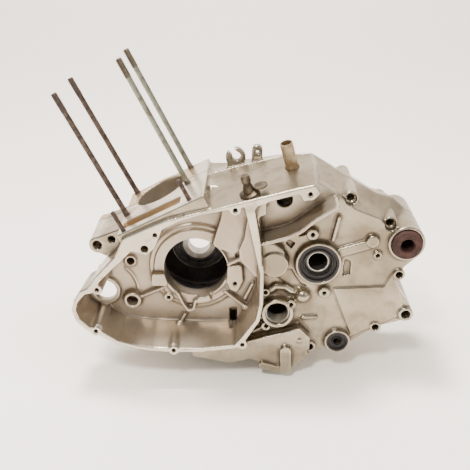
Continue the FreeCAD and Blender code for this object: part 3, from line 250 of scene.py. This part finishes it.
def rusty_rod():
    """Dark brown stud with patches of orange rust and a little bare steel."""
    p = Paint("rusty_rod")
    blotch = p.noise(160.0, 5.0, 0.6)
    fleck = p.noise(1100.0, 3.0)
    colour = p.mix(blotch.step(0.38, 0.62), rgb(64, 54, 50), rgb(92, 76, 66))
    colour = p.mix(fleck.step(0.55, 0.75) * 0.3, colour, rgb(128, 114, 100))
    colour = p.mix(p.mark("thread") * 0.7, colour, rgb(84, 70, 64))
    normal = p.bump(fleck, 0.4, 0.0003)
    return p.finish(colour, 0.42 + blotch * 0.3, normal, 0.75 - blotch.step(0.4, 0.7) * 0.4)


def plated_rod():
    """Dull zinc plating with brownish tarnish."""
    p = Paint("plated_rod")
    blotch = p.noise(120.0, 5.0, 0.6)
    fleck = p.noise(1300.0, 3.0)
    colour = p.mix(blotch.step(0.42, 0.68), rgb(138, 137, 124), rgb(110, 101, 88))
    colour = p.mix(fleck.step(0.6, 0.8) * 0.3, colour, rgb(74, 62, 50))
    colour = p.mix(p.mark("thread") * 0.8, colour, rgb(88, 76, 62))
    normal = p.bump(fleck, 0.25, 0.0002)
    return p.finish(colour, 0.3 + blotch * 0.25, normal, 0.85 - fleck.step(0.6, 0.8) * 0.3)


def ground_steel():
    """Bearing steel with turning lines and an oil film."""
    p = Paint("ground_steel")
    film = p.noise(60.0, 4.0)
    lines = p.noise(240.0, 3.0, 0.5, (1.0, 8.0, 1.0))
    colour = p.mix(film.step(0.4, 0.7), rgb(188, 184, 176), rgb(140, 122, 98))
    normal = p.bump(lines, 0.12, 0.0002)
    return p.finish(colour, 0.28 + film * 0.2, normal, 0.65 - film.step(0.5, 0.8) * 0.2)


def oiled_steel():
    """Steel under a dark film of old oil, bright only where the mask rim shows a worn edge."""
    p = Paint("oiled_steel", Metallic=0.5)
    film = p.noise(90.0, 4.0)
    colour = p.mix(film.step(0.4, 0.7), rgb(84, 80, 78), rgb(60, 56, 54))
    rim = p.mark("rim")
    colour = p.mix(rim, colour, rgb(222, 214, 200))
    return p.finish(colour, 0.24 + film * 0.2 - rim * 0.1)


def black_rubber():
    """Oil seal rubber, slightly shiny where oil sits."""
    p = Paint("black_rubber")
    film = p.noise(130.0, 4.0)
    grain = p.noise(1500.0, 2.0)
    colour = p.mix(film.step(0.45, 0.75), rgb(30, 26, 27), rgb(48, 40, 38))
    return p.finish(colour, 0.44 + film * 0.3, p.bump(grain, 0.15, 0.0002))


def rusty_bush():
    """Rust-brown pressed bush with darker pits."""
    p = Paint("rusty_bush")
    blotch = p.noise(110.0, 5.0, 0.65)
    fleck = p.noise(900.0, 4.0)
    colour = p.mix(blotch.step(0.35, 0.65), rgb(52, 34, 31), rgb(74, 48, 42))
    colour = p.mix(fleck.step(0.55, 0.8) * 0.6, colour, rgb(56, 40, 34))
    normal = p.bump(fleck, 0.5, 0.0004)
    return p.finish(colour, 0.6 + blotch * 0.25, normal, 0.35 - blotch.step(0.4, 0.7) * 0.2)


def tarnished(name, bright, dull):
    """Brass or plated fitting gone dull, darker in patches."""
    p = Paint(name)
    blotch = p.noise(90.0, 5.0, 0.6)
    fleck = p.noise(1200.0, 3.0)
    colour = p.mix(blotch.step(0.4, 0.66), bright, dull)
    colour = p.mix(fleck.step(0.6, 0.8) * 0.4, colour, rgb(60, 48, 34))
    normal = p.bump(fleck, 0.25, 0.0003)
    return p.finish(colour, 0.34 + blotch * 0.25, normal, 0.8 - fleck.step(0.6, 0.8) * 0.3)


# Surfaces worked out on grids
def mesh_piece(name, points, faces, body, material):
    """A smooth named piece from arrays of points and faces, riding on a body."""
    mesh = bpy.data.meshes.new(name)
    mesh.from_pydata(points, [], faces)
    mesh.polygons.foreach_set("use_smooth", np.full(len(mesh.polygons), True))
    mesh.materials.append(material)
    piece = bpy.data.objects.new(name, mesh)
    bpy.context.scene.collection.objects.link(piece)
    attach(piece, body)
    return piece


def closed_grid(rows, around):
    """Quads of a tube of rows of points, with a cap at each end."""
    i, j = np.meshgrid(np.arange(rows - 1), np.arange(around), indexing="ij")
    k = (j + 1) % around
    quads = np.stack([i * around + j, i * around + k, (i + 1) * around + k, (i + 1) * around + j],
                     -1).reshape(-1, 4)
    faces = quads.tolist()
    faces.append(list(range(around))[::-1])
    faces.append(list(range((rows - 1) * around, rows * around)))
    return faces


def worn_ring(node, centre, near, bore, pitch, ball, width, body, material):
    """Grooved bearing ring: P(s, t) = centre + r(s) (cos t, 0, sin t) + h(s) (0, 1, 0), where
    (r, h)(s) runs once round the section: bore, bevels, outer wall and ball track."""
    around = 128
    across_track = 13
    bevel = 0.0006
    clearance = 0.0001
    outer = pitch - 0.4 * ball
    track = ball + clearance
    half = math.acos((pitch - outer) / track)
    arc = [(pitch - track * math.cos(a), width / 2 + track * math.sin(a))
           for a in np.linspace(-half, half, across_track)]
    section = [(bore, bevel), (bore + bevel, 0.0), (bore + 2 * bevel, 0.0), (outer - bevel, 0.0),
               (outer, bevel)] + arc
    section += [(outer, width - bevel), (outer - bevel, width), (bore + bevel, width),
                (bore, width - bevel), (bore, 2 * bevel)]
    r = np.array([p[0] for p in section])[:, None]
    h = np.array([p[1] for p in section])[:, None]
    t = np.linspace(0, 2 * math.pi, around, endpoint=False)[None, :]
    points = np.stack([centre[0] + r * np.cos(t), near + h + 0 * t, centre[1] + r * np.sin(t)], -1)
    i, j = np.meshgrid(np.arange(len(section)), np.arange(around), indexing="ij")
    i2 = (i + 1) % len(section)
    j2 = (j + 1) % around
    quads = np.stack([i * around + j, i2 * around + j, i2 * around + j2, i * around + j2], -1)
    piece = mesh_piece(node + "_detail", points.reshape(-1, 3), quads.reshape(-1, 4).tolist(),
                       body, material)
    worn = np.zeros(len(section))
    worn[:2] = 1.0
    rim = piece.data.attributes.new("rim", "FLOAT", "POINT")
    rim.data.foreach_set("value", np.repeat(worn, around).astype(np.float32))
    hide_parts(node)


def stud(name, foot, length, buried, shank, thread, lower, upper, pitch, material):
    """Stud on the deck: P(h, t) = foot + h UPWARD - r (cos t ALONG + sin t ACROSS). Its radius
    r(h, t) is the shank's between the threads, and on them
    thread - depth |2 frac(h / pitch - t / 2 pi) - 1|, with short run-outs and a rounded end."""
    around = 20
    step = pitch / 6.0
    depth = 0.6 * pitch
    run_out = 1.5 * pitch
    rounding = 0.0012
    tip = 0.72
    rows = np.arange(-buried, length + step * 0.5, step)
    t = np.linspace(0, 2 * math.pi, around, endpoint=False)[None, :]
    h = rows[:, None]
    saw = np.abs(2 * np.mod(h / pitch - t / (2 * math.pi), 1.0) - 1.0)
    cut = thread - depth * saw
    blend_low = 1.0 - np.clip((h - lower) / run_out, 0, 1)
    blend_high = np.clip((h - (length - upper)) / run_out, 0, 1)
    on_thread = np.maximum(blend_low, blend_high)
    radius = shank * (1 - on_thread) + cut * on_thread
    end = np.clip((length - h) / rounding, 0, 1)
    radius = radius * (tip + (1 - tip) * np.sqrt(end))
    points = (foot + h[..., None] * UPWARD
              - (radius * np.cos(t))[..., None] * ALONG - (radius * np.sin(t))[..., None] * ACROSS)
    piece = mesh_piece(name + "_detail", points.reshape(-1, 3), closed_grid(len(rows), around),
                       "crankcase", material)
    thread_mark = piece.data.attributes.new("thread", "FLOAT", "POINT")
    thread_mark.data.foreach_set("value", np.repeat(on_thread[:, 0], around).astype(np.float32))
    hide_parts(name)


def deck_point(along, across):
    """A point of the deck, by its place along and across it from over the crankshaft's axis."""
    return ALONG * along + UPWARD * DECK_HEIGHT + ACROSS * across


# Castings
def smoothed(values, edges, rounds):
    """Each point's value replaced, again and again, by the mean of its neighbours."""
    count = np.bincount(edges.ravel(), minlength=len(values)).astype(float)
    count[count == 0] = 1.0
    for _ in range(rounds):
        total = np.empty_like(values)
        for axis in range(values.shape[1]):
            column = values[:, axis]
            total[:, axis] = (np.bincount(edges[:, 0], column[edges[:, 1]], len(values))
                              + np.bincount(edges[:, 1], column[edges[:, 0]], len(values)))
        values = total / count[:, None]
    return values


def rise(value, low, high):
    """Smooth step from 0 at low to 1 at high."""
    t = np.clip((value - low) / (high - low), 0.0, 1.0)
    return t * t * (3 - 2 * t)


def within(x, z, outline):
    """True where a side-view point lies inside an outline in millimetres, by the even-odd rule."""
    hit = np.zeros(len(x), dtype=bool)
    corners = [(a / 1000.0, b / 1000.0) for a, b in outline]
    for (x0, z0), (x1, z1) in zip(corners, corners[1:] + corners[:1]):
        if z0 != z1:
            hit ^= ((z0 > z) != (z1 > z)) & (x < x0 + (z - z0) * (x1 - x0) / (z1 - z0))
    return hit


def between(value, low, high):
    """True where a value lies between two limits."""
    return (value > low) & (value < high)


def relief(points, normals, edges, rounds):
    """How far each point stands out from its surroundings after some rounds of smoothing."""
    return -np.einsum("ij,ij->i", smoothed(points, edges, rounds) - points, normals)


def weather(mesh, side):
    """Masks on the casting's points: machined faces, oily hollows, wet crank room, rust round the
    studs, gasket left on the deck, corners (grime and painted shade) and edges (wear and a
    painted highlight)."""
    count = len(mesh.vertices)
    points = np.empty(count * 3)
    mesh.vertices.foreach_get("co", points)
    points = points.reshape(-1, 3)
    normals = np.empty(count * 3)
    mesh.vertices.foreach_get("normal", normals)
    normals = normals.reshape(-1, 3)
    edges = np.empty(len(mesh.edges) * 2, dtype=np.int64)
    mesh.edges.foreach_get("vertices", edges)
    edges = edges.reshape(-1, 2)
    x, y, z = points.T
    lift = points @ UPWARD - DECK_HEIGHT
    broad = relief(points, normals, edges, HOLLOW_ROUNDS * SPREAD)
    fine = relief(points, normals, edges, EDGE_ROUNDS * SPREAD)
    flange = COVER_FACE if side == "left" else CLUTCH_FACE
    facing = -normals[:, 1] if side == "left" else normals[:, 1]
    machined = rise(FACE_REACH - np.abs(y - flange), 0.0, FACE_FADE) * rise(facing, *FACING)
    deck = rise(FACE_REACH - np.abs(lift), 0.0, FACE_FADE) * rise(normals @ UPWARD, *FACING)
    machined = np.maximum(machined, deck)
    radius = np.hypot(x, z)
    along = points @ ALONG
    from_axis = np.hypot(along - CYLINDER_AXIS[0], y - CYLINDER_AXIS[1])
    under_deck = lift < -UNDER_DECK
    inside = (between(y, *CRANK_ROOM_ACROSS) & (radius < CRANK_ROOM_RADIUS)
              & (lift < -CRANK_ROOM_DEPTH))
    mouth = (from_axis < MOUTH_RADIUS) & under_deck
    tunnel = (under_deck & (lift > -TUNNEL_DEPTH) & between(y, *TUNNEL_ACROSS)
              & between(along, *TUNNEL_ALONG))
    stain = mouth | tunnel
    if side == "left":
        chamber = within(x, z, CHAMBER) & between(y, *CHAMBER_ACROSS)
        pocket = within(x, z, POCKET) & between(y, *POCKET_ACROSS)
        stain = np.maximum(stain, np.maximum(chamber, pocket * POCKET_STAIN))
        bore = (radius < BORE_RADIUS) & between(y, *BORE_ACROSS)
        inside = np.maximum(inside, bore * rise(y, *BORE_WET))
        residue = tunnel * GASKET
    else:
        residue = deck * (along < GASKET_END) * GASKET
    rust = np.zeros(count)
    for foot_along, foot_across in STUDS.values():
        away = np.hypot(along - foot_along, y - foot_across)
        ring = rise(RUST_REACH - away, 0.0, RUST_FADE) * (np.abs(lift) < RUST_BAND)
        rust = np.maximum(rust, ring)
    masks = {"machined": machined, "stain": stain, "inside": inside, "rust": rust,
             "residue": residue, "hollow": rise(-broad, *HOLLOW), "edge": rise(fine, *EDGE)}
    for name, values in masks.items():
        mask = mesh.attributes.new(name, "FLOAT", "POINT")
        mask.data.foreach_set("value", np.asarray(values, dtype=np.float32))


def casting(node, side, material):
    """The solid's own faces, remeshed in small squares and relaxed into fillets."""
    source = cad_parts[node]
    grid = bmesh.new()
    grid.from_mesh(source.data)
    bmesh.ops.remove_doubles(grid, verts=grid.verts, dist=1e-5)
    mesh = bpy.data.meshes.new(node + "_cast")
    grid.to_mesh(mesh)
    grid.free()
    piece = bpy.data.objects.new(node + "_cast", mesh)
    bpy.context.scene.collection.objects.link(piece)
    remesh = piece.modifiers.new("remesh", "REMESH")
    remesh.mode = "VOXEL"
    remesh.voxel_size = GRID
    relax = piece.modifiers.new("relax", "SMOOTH")
    relax.factor = 0.5
    relax.iterations = RELAX_ROUNDS * SPREAD
    thin = piece.modifiers.new("thin", "DECIMATE")
    depsgraph = bpy.context.evaluated_depsgraph_get()
    dense = len(piece.evaluated_get(depsgraph).data.polygons)
    thin.ratio = min(1.0, MOST_FACES / max(dense, 1))
    depsgraph = bpy.context.evaluated_depsgraph_get()
    final = bpy.data.meshes.new_from_object(piece.evaluated_get(depsgraph))
    piece.modifiers.clear()
    piece.data = final
    final.materials.clear()
    final.materials.append(material)
    final.polygons.foreach_set("use_smooth", np.full(len(final.polygons), True))
    weather(final, side)
    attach(piece, "crankcase")
    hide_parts(node)


def dress(node, material):
    """A CAD piece keeps its shape and takes a finish."""
    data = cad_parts[node].data
    data.materials.clear()
    data.materials.append(material)


ALLOY = cast_alloy()
RUST = rusty_rod()
PLATED = plated_rod()
STEEL = ground_steel()
OILED = oiled_steel()
RUBBER = black_rubber()
BUSH = rusty_bush()
TUBE = tarnished("breather_plating", rgb(184, 164, 134), rgb(152, 130, 100))
FITTING = tarnished("olive_fitting", rgb(98, 86, 70), rgb(66, 56, 46))
WASHER = tarnished("washer_copper", rgb(176, 128, 84), rgb(120, 84, 56))

casting("left_crankcase_half", "left", ALLOY)
casting("right_crankcase_half", "right", ALLOY)

for name, (along, across) in STUDS.items():
    stud(name, deck_point(along, across), length=0.176, buried=0.018, shank=0.0035, thread=0.0042,
         lower=0.004, upper=0.026, pitch=0.00125, material=RUST if "front" in name else PLATED)
for name, (along, across) in SHORT_STUDS.items():
    stud(name, deck_point(along, across), length=0.028, buried=0.014, shank=0.0027, thread=0.0030,
         lower=0.004, upper=0.012, pitch=0.0010, material=RUST)

worn_ring("output_bearing_inner_ring", centre=(0.157, 0.015), near=-0.011, bore=0.0125,
          pitch=0.01925, ball=0.004, width=0.015, body="output_inner_ring", material=OILED)

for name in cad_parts:
    if name.startswith("main_bearing") and "inner_ring" not in name:
        dress(name, OILED)
    elif ("bearing" in name or "shell" in name) and name != "output_bearing_inner_ring":
        dress(name, STEEL)
    elif "seal" in name:
        dress(name, RUBBER)
    elif "bush" in name:
        dress(name, BUSH)
    elif name == "breather_tube":
        dress(name, TUBE)
    elif name.startswith("vent"):
        dress(name, FITTING)
    elif name == "drain_washer":
        dress(name, WASHER)
    elif name in ("case_bolts", "locating_dowels", "drain_plug"):
        dress(name, PLATED)


# Stage, light and camera
def stage():
    """A pale floor that curves up into a wall. With a = pi (s - 1/2) it runs flat from front to
    bend while s < 1/2, then P(s) = (bend + curve sin a, curve (1 - cos a)), then straight up."""
    half_width = 4.0
    front = -2.5
    bend = 1.5
    curve = 0.6
    wall = 2.5
    s = np.linspace(0, 1, 33)
    angle = (s - 0.5) * math.pi
    y = np.where(s < 0.5, front + s * 2 * (bend - front), bend + np.sin(angle) * curve)
    z = np.where(s < 0.5, 0.0, (1 - np.cos(angle)) * curve)
    y = np.append(y, y[-1])
    z = np.append(z, z[-1] + wall)
    points = [(x, v, BOTTOM + w) for v, w in zip(y, z) for x in (-half_width, half_width)]
    faces = [(2 * i, 2 * i + 1, 2 * i + 3, 2 * i + 2) for i in range(len(points) // 2 - 1)]
    mesh = bpy.data.meshes.new("floor")
    mesh.from_pydata(points, [], faces)
    mesh.polygons.foreach_set("use_smooth", np.full(len(faces), True))
    floor = bpy.data.objects.new("floor", mesh)
    bpy.context.scene.collection.objects.link(floor)
    pale = Paint("pale_floor", Base_Color=rgb(252, 244, 234), Roughness=0.7, Emission_Strength=1.0)
    # The floor's emission is dimmed in an ellipse under the object: a painted shadow.
    painted_shadow_place = pale.add("ShaderNodeMapping", {}, {"Vector": pale.place, "Location": (-0.35, -0.7, 0.0),
                                              "Scale": (4.4, 9.0, 0.0)})
    away = pale.add("ShaderNodeVectorMath", {"operation": "LENGTH"}, {0: painted_shadow_place}, 1)
    glow_with_painted_shadow = pale.mix(away.step(0.7, 1.9), rgb(96, 94, 88), rgb(255, 245, 236))
    pale.link(glow_with_painted_shadow, pale.shader.inputs["Emission Color"])
    mesh.materials.append(pale.material)


def lamp(name, place, target, width, power, colour):
    """A square light at a place, turned to a target."""
    data = bpy.data.lights.new(name, "AREA")
    data.size = width
    data.energy = power
    data.color = colour
    light = bpy.data.objects.new(name, data)
    bpy.context.scene.collection.objects.link(light)
    light.location = place
    light.rotation_euler = (Vector(target) - Vector(place)).to_track_quat("-Z", "Y").to_euler()


stage()
lamp("key", (-0.35, -1.15, 1.65), (0.05, 0.0, 0.0), 0.3, 40.0, (1.0, 0.97, 0.92))
lamp("fill", (1.5, -1.0, 0.9), (0.05, 0.0, 0.0), 1.0, 7.0, (1.0, 0.98, 0.95))
lamp("top", (-0.2, 0.3, 1.8), (0.05, 0.05, 0.0), 0.4, 64.0, (1.0, 0.98, 0.94))
world = bpy.data.worlds.new("soft_sky")
world.use_nodes = True
world.node_tree.nodes["Background"].inputs["Color"].default_value = (1.0, 0.98, 0.94, 1.0)
world.node_tree.nodes["Background"].inputs["Strength"].default_value = 0.4
bpy.context.scene.world = world

# Camera fitted to the photograph; its focal length and width in the photograph's pixels
YAW = math.radians(-0.85)
PITCH = math.radians(25.0)
CAMERA_PLACE = (0.06341, -0.84637, 0.44170)
FOCAL_LENGTH = 734.0
PICTURE_WIDTH = 470.0
SENSOR_WIDTH = 36.0
camera_data = bpy.data.cameras.new("camera")
camera_data.sensor_width = SENSOR_WIDTH
camera_data.lens = FOCAL_LENGTH / PICTURE_WIDTH * SENSOR_WIDTH
camera = bpy.data.objects.new("camera", camera_data)
bpy.context.scene.collection.objects.link(camera)
camera.location = CAMERA_PLACE
aim = Vector((math.sin(YAW) * math.cos(PITCH), math.cos(YAW) * math.cos(PITCH), -math.sin(PITCH)))
camera.rotation_euler = aim.to_track_quat("-Z", "Y").to_euler()
bpy.context.scene.camera = camera
